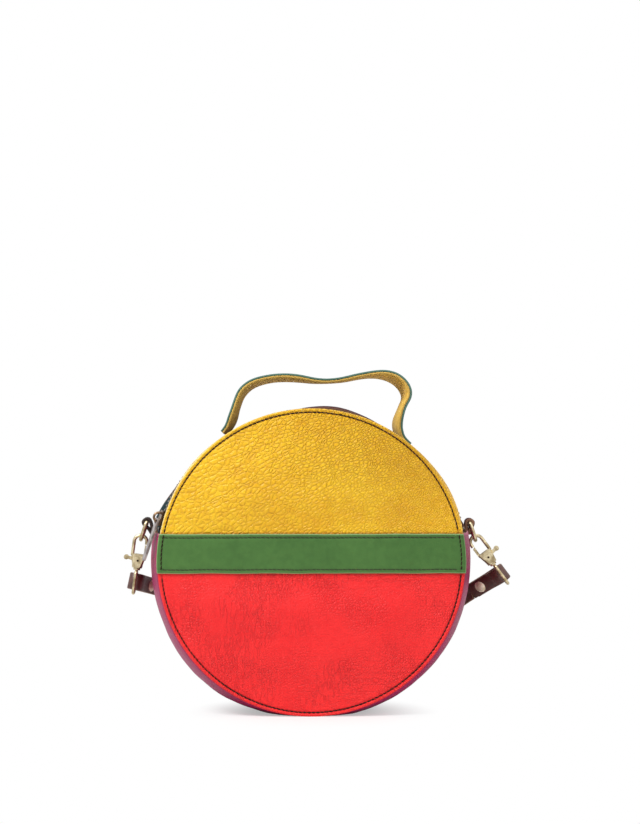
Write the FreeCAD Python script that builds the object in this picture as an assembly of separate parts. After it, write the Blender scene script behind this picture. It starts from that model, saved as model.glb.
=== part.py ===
import FreeCAD, Part
import math
import os

vec = FreeCAD.Vector

# Driving dimensions in millimetres and degrees. +X is right, -Y is the front, +Z is up.
# Angles round the bag are from its top, positive to the right.

# Round body
panel_radius = 100.0
bag_depth = 70.0
panel_leather = 1.8
gusset_leather = 1.6
gusset_bulge = 6.0
seam_width = 8.0
upper_drop = 5.0
lining_cloth = 0.6
soft_gap = 0.2
body_gap = 0.3

# Band sewn across the front
band_below_middle = 7.0
band_above_middle = 18.5
band_leather = 1.5
band_overhang = 0.4

# Zip round the top, close behind the front panel
zip_setback = 10.0
zip_slot = 10.0
tape_cloth = 0.7
tape_half_width = 8.6
back_slot = 12.0
back_tape_width = 15.6
tape_parting = 2.4
tooth_pitch = 3.0
tooth_width = 1.2
tooth_height = 1.8
tooth_clasp = 1.0
tooth_past_middle = 0.5
row_end_gap = 8.3
stop_end_gap = 3.1
stop_width = 1.4
slider_end_gap = 10.1
slider_length = 10.0
slider_wide = 8.6
slider_narrow = 6.8
slider_plate = 1.2
slider_room = 0.5
neck_length = 1.6
neck_width = 1.3
neck_setback = 0.4
bail_radius = 3.0
bail_wire = 1.6
bail_post = 0.9
pull_length = 30.0
pull_width = 6.0
pull_plate = 1.5
pull_rim = 1.2
pull_eye_room = 0.3

# Tabs and D-rings at the ends of the zip
ring_angle = 77.5
ring_depth = 8.0
ring_wire = 2.5
ring_half_width = 6.5
ring_reach = 12.5
ring_corner = 1.8
ring_lean = 19.0
left_ring_standoff = 6.2
right_ring_standoff = 3.1
tab_leather = 1.4
tab_room = 0.15
tab_tail = 7.0
tab_side_gap = 0.2

# Swivel snap hooks, in a frame with x outward and z up the stem from the barrel's top
hook_wire = 2.3
hook_half_width = 4.2
hook_loop_height = 12.5
hook_tip_height = 6.8
hook_root_depth = 2.4
barrel_height = 9.3
barrel_top_radius = 5.2
barrel_foot_radius = 3.3
barrel_thickness = 5.8
barrel_bridge = 1.4
barrel_web = 1.7
slot_width = 2.3
slot_inner_reach = 2.0
pin_height = 4.4
pin_diameter = 1.5
pin_room = 0.05
lever_plate = 1.9
lever_boss_radius = 1.9
lever_arm = 1.8
lever_tip_gap = 0.4
lever_tip_slope = 1.0
knob_rise = 1.4
knob_reach = 8.0
knob_radius = 1.7
spring_leaf = 0.3
spring_foot = 0.4
spring_gap = 0.1
ring_in_hook_gap = 0.5
left_stem_lean = 8.0
right_stem_lean = 37.0

# Swivel eyes
eye_wire = 2.2
eye_half_width = 4.0
eye_height = 14.6
eye_corner = 2.6
eye_collar_radius = 2.3
eye_collar_height = 1.2
eye_collar_gap = 0.2
eye_stem_radius = 1.0
eye_stem_room = 0.08
eye_head_radius = 1.7
eye_head_height = 0.7
eye_head_room = 0.15

# Shoulder strap
strap_width = 11.0
strap_leather = 2.0
fold_radius = 3.4
fold_close = 11.0
fold_ease = 12.0
fold_tail = 25.0
fold_end = 30.0
layer_gap = 0.1
join_gap = 0.1
left_strap_turn = 62.0
right_strap_turn = 40.0
left_strap_droop = 8.0
right_strap_droop = 0.0
rivet_place = 19.0
rivet_cap_radius = 4.0
rivet_cap_height = 1.2
rivet_shank_radius = 1.3
coil_x = 0.0
coil_behind_bag = 47.0
coil_first_radius = 12.0
coil_spacing = 4.6
coil_half_turns = 5
coil_lead = 17.5
strap_lead = 13.0
strand_skip = 18.4
corner_share = 0.45
arc_section_count = 4

# Points of the strap's free runs, between the straight leads out of each sewn end and into the coil
left_route = [
    (-91.3, 62.0, 67.2),
    (-81.0, 74.0, 54.5),
    (-69.5, 87.0, 39.5),
    (-54.0, 100.0, 24.5),
    (-37.0, 110.5, 12.2),
]
right_route = [
    (90.8, 47.5, 58.7),
    (76.5, 52.0, 43.8),
    (58.5, 53.0, 27.2),
    (38.5, 50.5, 13.0),
]

# Top handle, two layers of leather
handle_width = 18.0
handle_leather = 1.4
handle_depth = 9.0
handle_lean = 13.0
handle_hinge_drop = 5.0
handle_bend_radius = 9.0
handle_splay = {"left": 3.0, "right": 2.5}
pad_outward = {"left": 9.0, "right": 12.0}
pad_inward = {"left": 6.7, "right": 4.8}

# Handle's line from left to right, as x and the height above the bag's top
handle_line = [
    (-49.5, 2.0),
    (-46.5, 11.0),
    (-38.0, 19.3),
    (-15.0, 21.3),
    (12.0, 17.3),
    (43.0, 23.0),
    (57.5, 19.0),
    (66.0, 10.0),
    (60.0, -5.0),
]

# Worked out from the sizes above
centre_z = panel_radius
front_y = -bag_depth / 2
seat = bag_depth / 2 - panel_leather
crown_radius = (seat ** 2 + gusset_bulge ** 2) / (2 * gusset_bulge)
crown_centre = panel_radius + gusset_bulge - crown_radius
zip_y = front_y + zip_setback
zip_radius = crown_centre + math.sqrt(crown_radius ** 2 - zip_y ** 2)
bag_top = centre_z + panel_radius
band_bottom = centre_z - band_below_middle
band_top = centre_z + band_above_middle
zip_end_angle = math.degrees(math.acos((band_above_middle + upper_drop) / zip_radius))
tooth_row_angle = zip_end_angle - math.degrees(row_end_gap / zip_radius)
stop_angle = zip_end_angle - math.degrees(stop_end_gap / zip_radius)
slider_angle = zip_end_angle - math.degrees(slider_end_gap / zip_radius)
handle_hinge_height = bag_top - handle_hinge_drop
coil_y = bag_depth / 2 + coil_behind_bag
diagonal = math.sqrt(0.5)
far = 4 * panel_radius
sides = {"left": -1, "right": 1}
up = vec(0, 0, 1)
across_bag = vec(0, 1, 0)
bag_centre = vec(0, 0, centre_z)
upper_centre = vec(0, 0, centre_z - upper_drop)


def save(name, shape):
    shape.exportStep("parts/" + name + ".step")
    print(name, "valid", shape.isValid(), "solids", len(shape.Solids), "volume", round(shape.Volume, 1))


def block(x_low, x_high, y_low, y_high, z_low, z_high):
    size = (x_high - x_low, y_high - y_low, z_high - z_low)
    return Part.makeBox(*size, vec(x_low, y_low, z_low))


def above(height):
    return block(-far, far, -far, far, height, far)


def below(height):
    return block(-far, far, -far, far, -far, height)


def between(y_low, y_high):
    return block(-far, far, y_low, y_high, -far, far)


def disc(radius, y_low, y_high, drop=0.0):
    return Part.makeCylinder(radius, y_high - y_low, vec(0, y_low, centre_z - drop), across_bag)


def wall_radius(y, inset=0.0):
    return crown_centre + math.sqrt((crown_radius - inset) ** 2 - y ** 2)


# Solid inside the side wall's surface, moved inward by inset, and flattened where the bag stands.
# The upper wall, with the zip, lies lower than the panels' rims by upper_drop.
def barrel(inset, drop=0.0):
    half = seat - inset
    middle = centre_z - drop
    edge = middle + wall_radius(half, inset)
    crown = middle + wall_radius(0, inset)
    front_corner = vec(0, -half, edge)
    back_corner = vec(0, half, edge)
    front_axis = vec(0, -half, middle)
    back_axis = vec(0, half, middle)
    outline = [
        Part.LineSegment(front_axis, front_corner).toShape(),
        Part.Arc(front_corner, vec(0, 0, crown), back_corner).toShape(),
        Part.LineSegment(back_corner, back_axis).toShape(),
        Part.LineSegment(back_axis, front_axis).toShape(),
    ]
    solid = Part.Face(Part.Wire(outline)).revolve(vec(0, 0, middle), across_bag, 360)
    return solid.common(above(inset))


# Wedge of the upper wall between two angles from the top
def wedge(low, high):
    start = upper_centre - across_bag * far
    rays = [start + vec(far * math.sin(math.radians(a)), 0, far * math.cos(math.radians(a)))
            for a in (low, high)]
    return Part.Face(Part.makePolygon([start, rays[0], rays[1], start])).extrude(vec(0, 2 * far, 0))


# Frame on the upper wall: x along the zip to the right, y across it to the back, z outward
def wall_frame(angle, y):
    turn = math.radians(angle)
    radial = vec(math.sin(turn), 0, math.cos(turn))
    tilt = math.asin(y / crown_radius)
    out = radial * math.cos(tilt) + across_bag * math.sin(tilt)
    back = across_bag * math.cos(tilt) - radial * math.sin(tilt)
    origin = upper_centre + radial * wall_radius(y) + across_bag * y
    return origin, back.cross(out), back, out


def put(shape, origin, x_axis, y_axis, z_axis):
    matrix = FreeCAD.Matrix(
        x_axis.x, y_axis.x, z_axis.x, origin.x,
        x_axis.y, y_axis.y, z_axis.y, origin.y,
        x_axis.z, y_axis.z, z_axis.z, origin.z,
        0, 0, 0, 1)
    placed = shape.copy()
    placed.Placement = FreeCAD.Placement(matrix).multiply(placed.Placement)
    return placed


# Path of lines and arcs as a list of (start, middle, end), with no middle on a line. A corner's arc
# has the given radius, or with none is as large as its two runs allow.
def rounded_path(points, radius=None):
    corners = [vec(*point) for point in points]
    pieces = []
    start = corners[0]
    for before, corner, after in zip(corners, corners[1:], corners[2:]):
        into = (corner - before).normalize()
        away = (after - corner).normalize()
        turn = into.getAngle(away)
        shorter = min((corner - before).Length, (after - corner).Length)
        arc_radius = radius or corner_share * shorter / math.tan(turn / 2)
        reach = arc_radius * math.tan(turn / 2)
        first = corner - into * reach
        last = corner + away * reach
        inward = (away - into).normalize()
        middle = corner + inward * (arc_radius / math.cos(turn / 2) - arc_radius)
        pieces.append((start, None, first))
        pieces.append((first, middle, last))
        start = last
    pieces.append((start, None, corners[-1]))
    return pieces


def path_edges(pieces):
    edges = []
    for start, middle, end in pieces:
        if middle is None:
            edges.append(Part.LineSegment(start, end).toShape())
        else:
            edges.append(Part.Arc(start, middle, end).toShape())
    return edges


# Moves a flat path sideways, to the left of its travel as seen against the normal
def shifted(pieces, normal, distance):
    moved = []
    for start, middle, end in pieces:
        if middle is None:
            side = normal.cross(end - start).normalize() * distance
            moved.append((start + side, None, end + side))
        else:
            circle = Part.Arc(start, middle, end).toShape().Curve
            centre = circle.Center
            sense = normal.dot((middle - start).cross(end - middle))
            scale = 1 - math.copysign(distance / circle.Radius, sense * distance)
            moved.append(tuple(centre + (point - centre) * scale for point in (start, middle, end)))
    return moved


# Ribbon between two side shifts of a flat path, as deep as the given vector
def ribbon(pieces, normal, left, right, depth):
    one = shifted(pieces, normal, left)
    other = shifted(pieces, normal, right)
    ends = [
        (one[-1][2], None, other[-1][2]),
        (other[0][0], None, one[0][0]),
    ]
    outline = Part.Wire(Part.__sortEdges__(path_edges(one + other + ends)))
    return Part.Face(outline).extrude(depth)


# Round wire along a path
def wire_along(pieces, diameter):
    edges = path_edges(pieces)
    heading = edges[0].tangentAt(edges[0].FirstParameter)
    ring = Part.Wire([Part.makeCircle(diameter / 2, pieces[0][0], heading)])
    return Part.Wire(edges).makePipeShell([ring], True, False)


def make_body():
    seam_hole = panel_radius - seam_width
    wall = barrel(0).cut(barrel(gusset_leather)).cut(disc(seam_hole, -far, far))
    upper = barrel(0, upper_drop).cut(barrel(gusset_leather, upper_drop))
    front_seam = disc(panel_radius, -seat, gusset_leather - seat)
    back_seam = disc(panel_radius, seat - gusset_leather, seat)
    upper = upper.multiFuse([front_seam, back_seam]).cut(disc(seam_hole, -far, far, upper_drop))
    upper = upper.common(above(band_top)).removeSplitter()
    slot_front = zip_y - zip_slot / 2
    slot_back = zip_y + back_slot
    save("lower_gusset", wall.common(below(band_top)))
    save("zip_back_strip", upper.common(between(slot_back, far)))
    save("zip_front_strip", upper.common(above(band_top + body_gap)).common(between(-far, slot_front)))

    front = disc(panel_radius, front_y, front_y + panel_leather)
    save("front_lower_panel", front.common(below(band_top)))
    save("front_upper_panel", front.common(above(band_top + body_gap)))
    save("back_panel", disc(panel_radius, seat, seat + panel_leather))
    band = disc(panel_radius + band_overhang, front_y - band_leather, front_y)
    save("front_band", band.common(above(band_bottom)).common(below(band_top)))

    lining_seat = seat - gusset_leather - soft_gap
    lining_face = lining_seat - lining_cloth
    lining_radius = wall_radius(seat - gusset_leather, gusset_leather) - soft_gap
    inner = gusset_leather + soft_gap
    front_lining = disc(lining_radius, -lining_seat, -lining_face).common(above(inner))
    save("lining_front_lower", front_lining.common(below(band_top)))
    under_zip = disc(lining_radius, -far, far, upper_drop)
    save("lining_front_upper", front_lining.common(above(band_top + body_gap)).common(under_zip))
    back_lining = disc(lining_radius, lining_face, lining_seat).common(above(inner))
    save("lining_back", back_lining.cut(above(band_top).cut(under_zip)))
    lining_edge = lining_face - soft_gap
    lining = barrel(inner).cut(barrel(inner + lining_cloth)).common(below(band_top))
    save("lining_gusset", lining.common(between(-lining_edge, lining_edge)))


def make_zip():
    tape_over = gusset_leather + soft_gap / 2
    tape_under = tape_over + tape_cloth
    tape = barrel(tape_over, upper_drop).cut(barrel(tape_under, upper_drop))
    front_edge = max(zip_y - tape_half_width, -(seat - tape_under - soft_gap))
    front_tape = between(front_edge, zip_y - tape_parting)
    back_tape = between(zip_y + tape_parting, zip_y + back_tape_width)
    save("zip_tape_front", tape.common(above(band_top + body_gap)).common(front_tape))
    save("zip_tape_back", tape.common(above(band_top)).common(back_tape))

    step = math.degrees(tooth_pitch / zip_radius)
    count = int(2 * tooth_row_angle / step)
    half_tooth = tooth_width / 2
    tooth_foot = soft_gap / 2 - tape_over
    tooth_low = -tape_parting - tooth_clasp
    tooth_top = tooth_foot + tooth_height
    front_tooth = block(-half_tooth, half_tooth, tooth_low, tooth_past_middle, tooth_foot, tooth_top)
    back_tooth = block(-half_tooth, half_tooth, -tooth_past_middle, -tooth_low, tooth_foot, tooth_top)
    front_row = []
    back_row = []
    for number in range(count):
        angle = number * step - tooth_row_angle
        front_row.append(put(front_tooth, *wall_frame(angle, zip_y)))
        back_row.append(put(back_tooth, *wall_frame(angle + step / 2, zip_y)))
    save("zip_teeth_front", Part.makeCompound(front_row))
    save("zip_teeth_back", Part.makeCompound(back_row))
    stop = block(-stop_width / 2, stop_width / 2, tooth_past_middle, -tooth_low, tooth_foot, tooth_top)
    stops = [put(stop, *wall_frame(angle, zip_y)) for angle in (-stop_angle, stop_angle)]
    save("zip_end_stops", Part.makeCompound(stops))

    plate_low = tooth_top + slider_room
    plate_top = plate_low + slider_plate
    under_top = -tape_under - slider_room
    half = slider_length / 2
    outline = [
        vec(-half, -slider_wide / 2, 0),
        vec(half, -slider_narrow / 2, 0),
        vec(half, slider_narrow / 2, 0),
        vec(-half, slider_wide / 2, 0),
        vec(-half, -slider_wide / 2, 0),
    ]
    plate = Part.Face(Part.makePolygon(outline)).extrude(up * slider_plate)
    top_plate = plate.translated(up * plate_low)
    under_plate = plate.translated(up * (under_top - slider_plate))
    neck_back = -tooth_past_middle - body_gap
    neck_start = neck_setback - half
    neck_front = neck_back - neck_width
    neck = block(neck_start, neck_start + neck_length, neck_front, neck_back, under_top, plate_low)
    bail_centre = plate_top + bail_post
    ring = Part.Face(Part.Wire(Part.makeCircle(bail_wire / 2, vec(bail_radius, 0, bail_centre), up)))
    bail = ring.revolve(vec(0, 0, bail_centre), -across_bag, 180)
    posts = [Part.makeCylinder(bail_wire / 2, bail_post, vec(x, 0, plate_top), up)
             for x in (-bail_radius, bail_radius)]
    slider = top_plate.multiFuse([under_plate, neck, bail] + posts).removeSplitter()
    place = wall_frame(-slider_angle, zip_y)
    save("zip_slider", put(slider, *place))

    eye_inner = bail_radius - bail_wire / 2 - pull_eye_room
    eye_outer = bail_radius + bail_wire / 2 + 2 * pull_eye_room
    eye_side = bail_wire / 2 + 2 * pull_eye_room
    plate_foot = bail_centre - pull_plate / 2
    straight = pull_length - pull_width / 2
    body = block(-straight, pull_rim - eye_inner, -pull_width / 2, pull_width / 2,
                 plate_foot, plate_foot + pull_plate)
    tip = Part.makeCylinder(pull_width / 2, pull_plate, vec(-straight, 0, plate_foot), up)
    eye = block(-eye_outer, -eye_inner, -eye_side, eye_side, plate_foot, plate_foot + pull_plate)
    save("zip_pull", put(body.fuse(tip).removeSplitter().cut(eye), *place))
    origin, along, back, out = place
    bail_axis = origin + out * bail_centre
    print("zip pull axis point", bail_axis, "direction", back)
    print("zip centre", upper_centre, "slider travel", round(2 * slider_angle, 2))


# Places a hook's or an eye's own frame on one side of the bag. The left one is mirrored.
def place_hook(shape, side, lean, origin):
    placed = shape if side > 0 else shape.mirror(vec(0, 0, 0), vec(1, 0, 0))
    placed = placed.copy()
    placed.rotate(vec(0, 0, 0), across_bag, -side * lean)
    placed.translate(origin)
    return placed


def hook_barrel():
    foot = vec(0, 0, -barrel_height)
    cone = Part.makeCone(barrel_foot_radius, barrel_top_radius, barrel_height, foot, up)
    body = cone.common(between(-barrel_thickness / 2, barrel_thickness / 2))
    half = slot_width / 2
    web_top = barrel_web - barrel_height
    body = body.cut(block(-far, far, -half, half, web_top, -barrel_bridge))
    body = body.cut(block(-far, slot_inner_reach, -half, half, web_top, far))
    head_room = eye_head_height + 2 * eye_head_room
    body = body.cut(Part.makeCylinder(eye_head_radius + eye_head_room, head_room, vec(0, 0, web_top), up))
    body = body.cut(Part.makeCylinder(eye_stem_radius + eye_stem_room, barrel_height, foot, up))
    pin_hole = Part.makeCylinder(pin_diameter / 2, 2 * far, vec(0, -far, -pin_height), across_bag)
    shoulder = hook_loop_height - hook_half_width
    arm = [
        (vec(hook_half_width, 0, -hook_root_depth / 2), None, vec(hook_half_width, 0, shoulder)),
        (vec(hook_half_width, 0, shoulder), vec(0, 0, hook_loop_height), vec(-hook_half_width, 0, shoulder)),
        (vec(-hook_half_width, 0, shoulder), None, vec(-hook_half_width, 0, hook_tip_height)),
    ]
    return body.fuse(wire_along(arm, hook_wire)).removeSplitter().cut(pin_hole)


def gate_lever():
    half = lever_arm / 2
    gate_x = -hook_half_width
    gate_top = hook_tip_height - lever_tip_gap
    outline = [
        vec(gate_x - half, 0, gate_top - lever_tip_slope),
        vec(gate_x - half, 0, -barrel_bridge),
        vec(-lever_boss_radius, 0, -pin_height),
        vec(0, 0, -pin_height - half),
        vec(knob_reach, 0, -pin_height - half + knob_rise),
        vec(knob_reach, 0, half - pin_height + knob_rise),
        vec(lever_boss_radius, 0, half - pin_height + knob_rise),
        vec(gate_x + half, 0, -barrel_bridge / 2),
        vec(gate_x + half, 0, gate_top),
    ]
    plate = Part.Face(Part.makePolygon(outline + outline[:1])).extrude(across_bag * lever_plate)
    plate.translate(across_bag * (-lever_plate / 2))
    pivot = vec(0, -lever_plate / 2, -pin_height)
    boss = Part.makeCylinder(lever_boss_radius, lever_plate, pivot, across_bag)
    knob_centre = vec(knob_reach, -lever_plate / 2, knob_rise - pin_height)
    knob = Part.makeCylinder(knob_radius, lever_plate, knob_centre, across_bag)
    hole = Part.makeCylinder(pin_diameter / 2 + pin_room, lever_plate, pivot, across_bag)
    return plate.multiFuse([boss, knob]).removeSplitter().cut(hole)


# Leaf spring under the lever's thumb arm, standing on the barrel's web
def gate_spring():
    web_top = barrel_web - barrel_height
    foot = eye_head_radius + eye_head_room + spring_foot
    arm_under = -pin_height - lever_arm / 2 - spring_gap
    foot_leaf = block(foot, foot + 2 * spring_leaf, -lever_plate / 2, lever_plate / 2,
                      web_top, web_top + spring_leaf)
    post_leaf = block(foot + spring_leaf, foot + 2 * spring_leaf, -lever_plate / 2, lever_plate / 2,
                      web_top, arm_under)
    return foot_leaf.fuse(post_leaf).removeSplitter()


# Eye with its stem through the barrel's web. Its loop lies across the hook, so that it shows edge on.
def swivel_eye():
    web_top = barrel_web - barrel_height
    collar_top = -barrel_height - eye_collar_gap
    collar_foot = collar_top - eye_collar_height
    collar = Part.makeCylinder(eye_collar_radius, eye_collar_height, vec(0, 0, collar_foot), up)
    stem_top = web_top + eye_head_room
    stem = Part.makeCylinder(eye_stem_radius, stem_top - collar_top, vec(0, 0, collar_top), up)
    head = Part.makeCylinder(eye_head_radius, eye_head_height, vec(0, 0, stem_top), up)
    top = collar_foot - eye_wire / 2 + soft_gap
    foot = top - eye_height
    corners = [
        (0, 0, top),
        (0, eye_half_width, top),
        (0, eye_half_width, foot),
        (0, 0, foot),
    ]
    half_loop = wire_along(rounded_path(corners, eye_corner), eye_wire)
    other_half = half_loop.mirror(vec(0, 0, 0), across_bag)
    return half_loop.multiFuse([other_half, collar, stem, head]).removeSplitter()


def eye_middle_height():
    return soft_gap - barrel_height - eye_collar_gap - eye_collar_height - (eye_wire + eye_height) / 2


# Sewn end of the strap, a loop round the eye's back arm, with x inward and z up the stem.
# Its run hangs down from the eye by the droop angle.
def strap_end(turn, droop):
    run = math.radians(turn)
    ahead = vec(math.cos(run), math.sin(run), 0)
    left = vec(-math.sin(run), math.cos(run), 0)
    arm = vec(0, eye_half_width, 0)
    offset = (strap_leather + layer_gap) / 2
    reach = math.hypot(fold_close, offset)
    lean = math.atan2(offset, fold_close) + math.acos(fold_radius / reach)
    touch_ahead = ahead * (fold_radius * math.cos(lean))
    touch_side = left * (fold_radius * math.sin(lean))
    upper = rounded_path([arm + ahead * fold_end + left * offset, arm + ahead * fold_close + left * offset,
                          arm + touch_ahead + touch_side], fold_ease)
    lower = rounded_path([arm + touch_ahead - touch_side, arm + ahead * fold_close - left * offset,
                          arm + ahead * fold_tail - left * offset], fold_ease)
    bend = [(upper[-1][2], arm - ahead * fold_radius, lower[0][0])]
    half = strap_leather / 2
    band = ribbon(upper + bend + lower, up, half, -half, up * strap_width)
    outer = offset + half
    rivet_middle = arm + ahead * rivet_place + up * (strap_width / 2)
    shank = Part.makeCylinder(rivet_shank_radius, 2 * outer, rivet_middle - left * outer, left)
    ball_radius = (rivet_cap_radius ** 2 + rivet_cap_height ** 2) / (2 * rivet_cap_height)
    ball_offset = outer + rivet_cap_height - ball_radius
    caps = []
    for sign in (1, -1):
        ball = Part.makeSphere(ball_radius, rivet_middle + left * (sign * ball_offset))
        cap_base = rivet_middle + left * (sign * outer)
        keep = Part.makeCylinder(rivet_cap_radius, 2 * rivet_cap_height, cap_base, left * sign)
        caps.append(ball.common(keep))
    rivet = shank.multiFuse(caps).removeSplitter()
    drop = -up * (strap_width / 2)
    band = band.cut(shank).translated(drop)
    rivet = rivet.translated(drop)
    band.rotate(arm, left, droop)
    rivet.rotate(arm, left, droop)
    return band, rivet


# Flat strip on edge along a route of straight runs and arcs, as a loft through its cross-sections
def strap_run(name, points):
    edges = path_edges(rounded_path(points))
    stations = []
    length = 0
    for edge in edges:
        length += edge.Length
        steps = 1 if edge.Curve.TypeId == "Part::GeomLine" else arc_section_count
        low, high = edge.ParameterRange
        for number in range(steps + 1):
            spot = low + (high - low) * number / steps
            stations.append((edge.valueAt(spot), edge.tangentAt(spot)))
    sections = []
    last = None
    for point, heading in stations:
        if last is not None and (point - last).Length < layer_gap:
            continue
        last = point
        side = up.cross(heading).normalize() * (strap_leather / 2)
        rise = heading.cross(side).normalize() * (strap_width / 2)
        corners = [point + side + rise, point - side + rise, point - side - rise, point + side - rise]
        sections.append(Part.makePolygon(corners + corners[:1]))
    solid = Part.makeLoft(sections, True, True)
    arcs = [edge.Curve for edge in edges if edge.Curve.TypeId == "Part::GeomCircle"]
    radii = [round(arc.Radius, 1) for arc in arcs]
    print(name, "length", round(length, 1), "radii", radii, "volume over section times length",
          round(solid.Volume / (strap_width * strap_leather * length), 4))
    save(name, solid)
    return length


# Double spiral: the strap folded in half at the middle and rolled up, both ends leaving outside
def strap_coil():
    shift = coil_spacing / 2
    middle = vec(coil_x, coil_y, 0)
    strand = []
    radius = coil_first_radius
    for number in range(coil_half_turns + 1):
        sense = 1 if number % 2 == 0 else -1
        centre = middle - vec(sense * shift, 0, 0)
        start = centre + vec(sense * radius, 0, 0)
        top = centre + vec(0, sense * radius, 0)
        end = centre - vec(sense * radius, 0, 0)
        if number < coil_half_turns:
            strand.append((start, top, end))
        else:
            slant = diagonal * radius
            strand.append((start, centre + vec(sense * slant, sense * slant, 0), top))
        radius += coil_spacing
    turned = [tuple(middle * 2 - point for point in piece) for piece in strand]
    small = (coil_first_radius - shift) / 2
    heart = [
        (strand[0][0], middle + vec(small, -small, 0), middle),
        (middle, middle + vec(-small, small, 0), turned[0][0]),
    ]
    inward = [tuple(reversed(piece)) for piece in reversed(strand)]
    return inward + heart + turned


def least_gap(pieces):
    points = []
    travelled = []
    length = 0
    for edge in path_edges(pieces):
        for point in edge.discretize(Distance=coil_spacing / 3):
            if points:
                length += (point - points[-1]).Length
            points.append(point)
            travelled.append(length)
    least = far
    for number, point in enumerate(points):
        for later in range(number + 1, len(points)):
            if travelled[later] - travelled[number] > strand_skip:
                least = min(least, (points[later] - point).Length)
    return least - strap_leather, length


# Coil on the floor behind the bag, and a run to it from each sewn end
def make_strap(left_end, right_end):
    pieces = strap_coil()
    half = strap_leather / 2
    middle = up * (strap_width / 2)
    left_join = pieces[0][0] + middle
    right_join = pieces[-1][2] + middle
    if left_join.y < right_join.y:
        left_join, right_join = right_join, left_join
    gap, length = least_gap(pieces)
    save("strap_coil", ribbon(pieces, up, half, -half, up * strap_width))
    print("coil length", round(length, 1), "least gap to itself", round(gap, 2))
    print("coil ends", left_join, right_join)
    coil_start = vec(coil_lead, 0, 0)
    length += strap_run("strap_run_left", left_end + left_route + [left_join - coil_start, left_join])
    length += strap_run("strap_run_right", right_end + right_route + [right_join + coil_start, right_join])
    print("strap length between its sewn ends", round(length, 1))


def make_clip(name, standoff, lean, turn, droop):
    side = sides[name]
    radial = vec(side * math.sin(math.radians(ring_angle)), 0, math.cos(math.radians(ring_angle)))
    surface = bag_centre + radial * wall_radius(ring_depth) + across_bag * ring_depth
    loop_radius = ring_wire / 2 + tab_room + tab_leather
    bar = surface + radial * standoff
    down = vec(side * math.sin(math.radians(ring_lean)), 0, -math.cos(math.radians(ring_lean)))

    shoulder = ring_reach - ring_half_width
    left_side = -across_bag * ring_half_width
    ring_half = rounded_path([bar, bar + left_side, bar + left_side + down * shoulder], ring_corner)
    apex = bar + down * ring_reach
    slant = diagonal * ring_half_width
    ring_half.append((ring_half[-1][2], bar + down * (shoulder + slant) - across_bag * slant, apex))
    half = wire_along(ring_half, ring_wire)
    other = half.mirror(bar, across_bag)
    save("d_ring_" + name, half.fuse(other).removeSplitter())
    print("ring bar", name, bar)

    straight = 2 * (ring_half_width - ring_corner - tab_side_gap)
    tab_start = bar - across_bag * (straight / 2)
    loop = Part.makeCylinder(loop_radius, straight, tab_start, across_bag)
    foot = surface - radial.cross(across_bag) * (side * tab_tail)
    rise = (bar - foot).normalize()
    tail_block = block(0, (bar - foot).Length, 0, straight, -tab_leather, tab_leather)
    tail = put(tail_block, foot - across_bag * (straight / 2), rise, across_bag, rise.cross(across_bag))
    bore = Part.makeCylinder(ring_wire / 2 + tab_room, straight, tab_start, across_bag)
    save("side_tab_" + name, loop.fuse(tail).cut(barrel(-soft_gap / 2)).cut(bore))

    hang = hook_loop_height - (hook_wire + ring_wire) / 2 - ring_in_hook_gap
    stem = vec(-side * math.sin(math.radians(lean)), 0, math.cos(math.radians(lean)))
    origin = apex - stem * hang
    pin = Part.makeCylinder(pin_diameter / 2, barrel_thickness,
                            vec(0, -barrel_thickness / 2, -pin_height), across_bag)
    band, rivet = strap_end(turn, droop)
    pieces = {
        "hook_body_": hook_barrel(),
        "gate_lever_": gate_lever(),
        "gate_pin_": pin,
        "gate_spring_": gate_spring(),
        "swivel_eye_": swivel_eye(),
    }
    for label, shape in pieces.items():
        save(label + name, place_hook(shape, side, lean, origin))
    for label, shape in (("strap_end_", band), ("strap_rivet_", rivet)):
        raised = shape.translated(up * eye_middle_height())
        save(label + name, place_hook(raised.mirror(vec(0, 0, 0), vec(1, 0, 0)), side, lean, origin))
    run = math.radians(turn)
    fall = math.radians(droop)
    heading = vec(-math.cos(run) * math.cos(fall), math.sin(run) * math.cos(fall), -math.sin(fall))
    own = vec(0, eye_half_width, eye_middle_height()) + heading * (fold_end + join_gap)
    own = own + vec(math.sin(run), math.cos(run), 0) * ((strap_leather + layer_gap) / 2)
    inward = vec(side * math.cos(math.radians(lean)), 0, math.sin(math.radians(lean)))
    finish = origin + inward * own.x + across_bag * own.y + stem * own.z
    lead = inward * heading.x + across_bag * heading.y + stem * heading.z
    pivot = origin - stem * pin_height
    print("hook", name, "origin", origin, "stem", stem, "pin", pivot, "strap end", finish)
    return [finish, finish + lead * strap_lead]


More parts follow.
